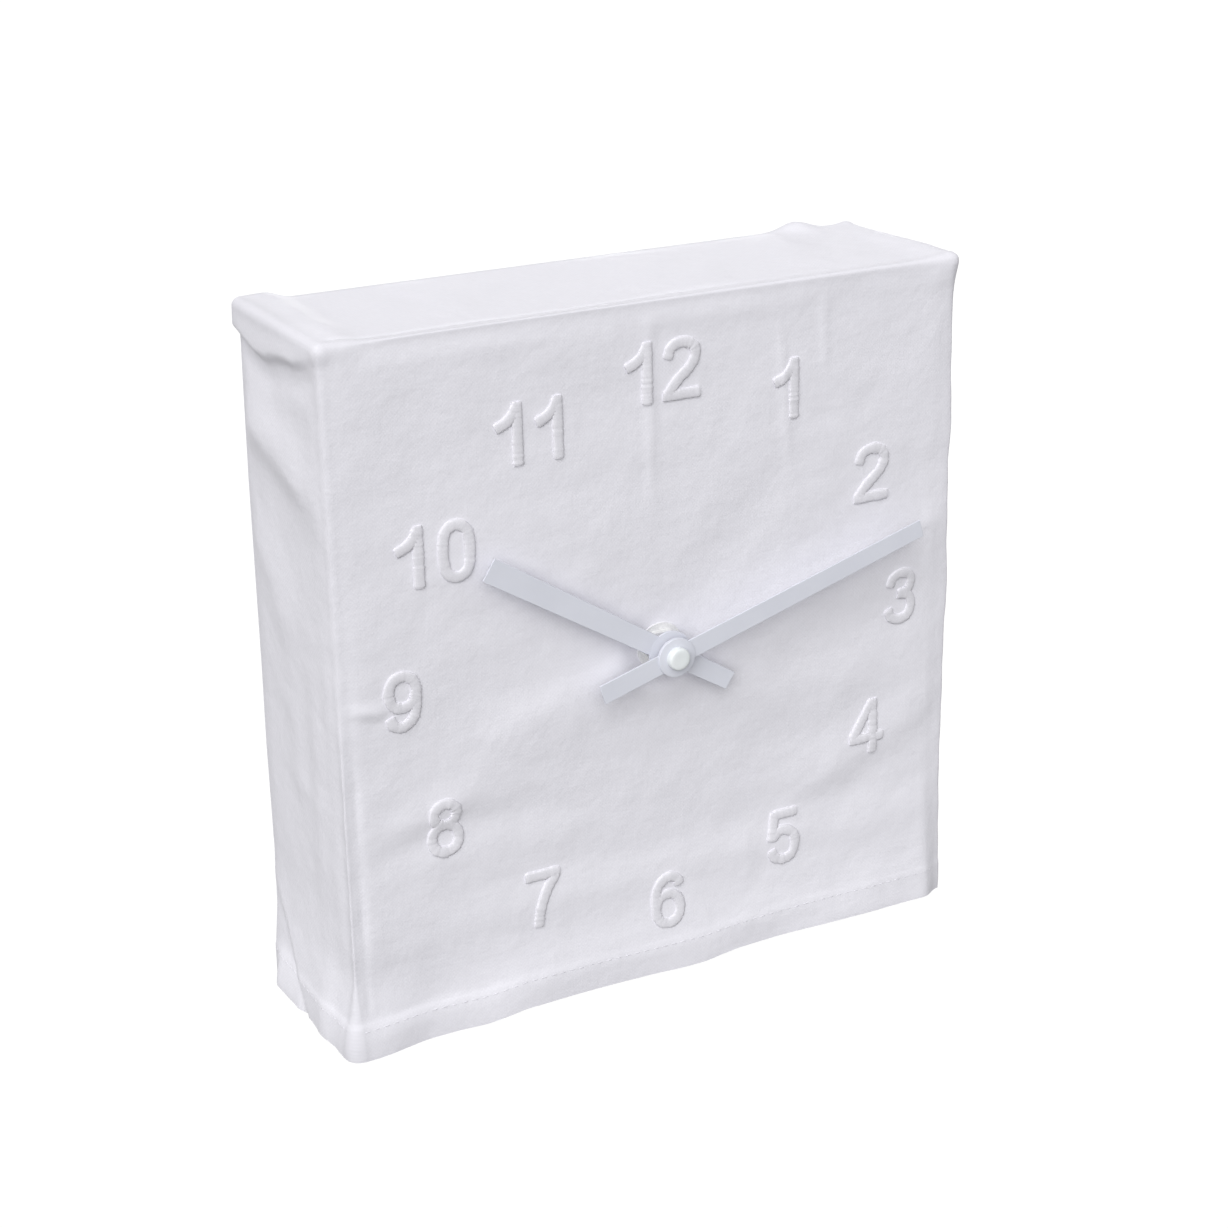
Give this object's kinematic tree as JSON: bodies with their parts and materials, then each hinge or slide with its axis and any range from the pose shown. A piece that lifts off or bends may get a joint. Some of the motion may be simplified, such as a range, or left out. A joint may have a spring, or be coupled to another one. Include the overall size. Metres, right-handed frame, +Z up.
{
  "type": "table clock",
  "caption": "Square table clock in a white sewn cotton slipcover with embroidered numerals, pale sheet hands and a battery movement reached through a hemmed window in the back.",
  "frame": {"origin": "on the table, under the middle of the whole clock's box, hands included", "axes": "+Z up; the dial faces -Y; +X to the right of someone looking at the dial"},
  "size_m": [0.1941, 0.068, 0.1998],
  "materials": {
    "cotton": "plain-weave washed cotton",
    "board": "sanded fibreboard",
    "rubber": "matt",
    "hand_paint": "satin paint, pale grey blue",
    "cap_paint": "satin white paint",
    "nickel": "nickel plated",
    "black_plastic": "moulded, fine texture",
    "white_plastic": "moulded",
    "brass": "turned",
    "magnet": "sintered magnet on a steel arbor",
    "steel": "plated sheet and wire",
    "copper": "enamelled copper winding",
    "circuit": "solder mask",
    "battery_wrap": "shrink wrap"
  },
  "bodies": {
    "clock": {"cover_front": "cotton", "cover_top": "cotton", "cover_left": "cotton", "cover_right": "cotton", "cover_back": "cotton", "case_top": "board", "case_bottom": "board", "case_left": "board", "case_right": "board", "dial_board": "board", "back_board": "board", "foot_front_left": "rubber", "foot_front_right": "rubber", "foot_back_left": "rubber", "foot_back_right": "rubber", "gasket": "rubber", "neck_washer": "nickel", "neck_nut": "nickel", "movement_housing": "black_plastic", "movement_cover": "black_plastic", "train_plate": "white_plastic", "back_staples": "steel", "contact_positive": "steel", "contact_negative": "steel", "stator": "steel", "quartz_crystal": "steel", "drive_coil": "copper", "circuit_board": "circuit", "battery": "battery_wrap"},
    "minute_arbor": {"minute_arbor": "brass", "minute_hand": "hand_paint", "hand_nut": "cap_paint"},
    "hour_wheel": {"hour_wheel": "white_plastic", "hour_hand": "hand_paint"},
    "motion_work": {"motion_wheel": "white_plastic", "set_knob": "black_plastic"},
    "rotor": {"rotor": "magnet"},
    "intermediate_wheel": {"intermediate_wheel": "white_plastic"},
    "seconds_wheel": {"seconds_wheel": "white_plastic"},
    "third_wheel": {"third_wheel": "white_plastic"},
    "centre_wheel": {"centre_wheel": "white_plastic"}
  },
  "joints": [
    {"name": "minute_turn", "type": "hinge", "parent": "clock", "child": "minute_arbor", "pos_m": [0, -0.02195, 0.102], "axis": [0, 1, 0], "continuous": true},
    {"name": "hour_turn", "type": "hinge", "parent": "clock", "child": "hour_wheel", "pos_m": [0, -0.02195, 0.102], "axis": [0, 1, 0], "continuous": true},
    {"name": "set_turn", "type": "hinge", "parent": "clock", "child": "motion_work", "pos_m": [0.00966, -0.02195, 0.10459], "axis": [0, 1, 0], "continuous": true},
    {"name": "rotor_turn", "type": "hinge", "parent": "clock", "child": "rotor", "pos_m": [0.00911, -0.02195, 0.1193], "axis": [0, 1, 0], "continuous": true},
    {"name": "intermediate_turn", "type": "hinge", "parent": "clock", "child": "intermediate_wheel", "pos_m": [0.00084, -0.02195, 0.11784], "axis": [0, 1, 0], "continuous": true},
    {"name": "seconds_turn", "type": "hinge", "parent": "clock", "child": "seconds_wheel", "pos_m": [-0.00705, -0.02195, 0.11497], "axis": [0, 1, 0], "continuous": true},
    {"name": "third_turn", "type": "hinge", "parent": "clock", "child": "third_wheel", "pos_m": [-0.00779, -0.02195, 0.1065], "axis": [0, 1, 0], "continuous": true},
    {"name": "centre_turn", "type": "hinge", "parent": "clock", "child": "centre_wheel", "pos_m": [0, -0.02195, 0.102], "axis": [0, 1, 0], "continuous": true}
  ],
  "couplings": [
    {"joint": "hour_turn", "follows": "minute_turn", "ratio": 0.083333},
    {"joint": "set_turn", "follows": "minute_turn", "ratio": -0.33333},
    {"joint": "intermediate_turn", "follows": "rotor_turn", "ratio": -0.16667},
    {"joint": "seconds_turn", "follows": "rotor_turn", "ratio": 0.033333},
    {"joint": "third_turn", "follows": "rotor_turn", "ratio": -0.0044444},
    {"joint": "centre_turn", "follows": "rotor_turn", "ratio": 0.00055556}
  ]
}
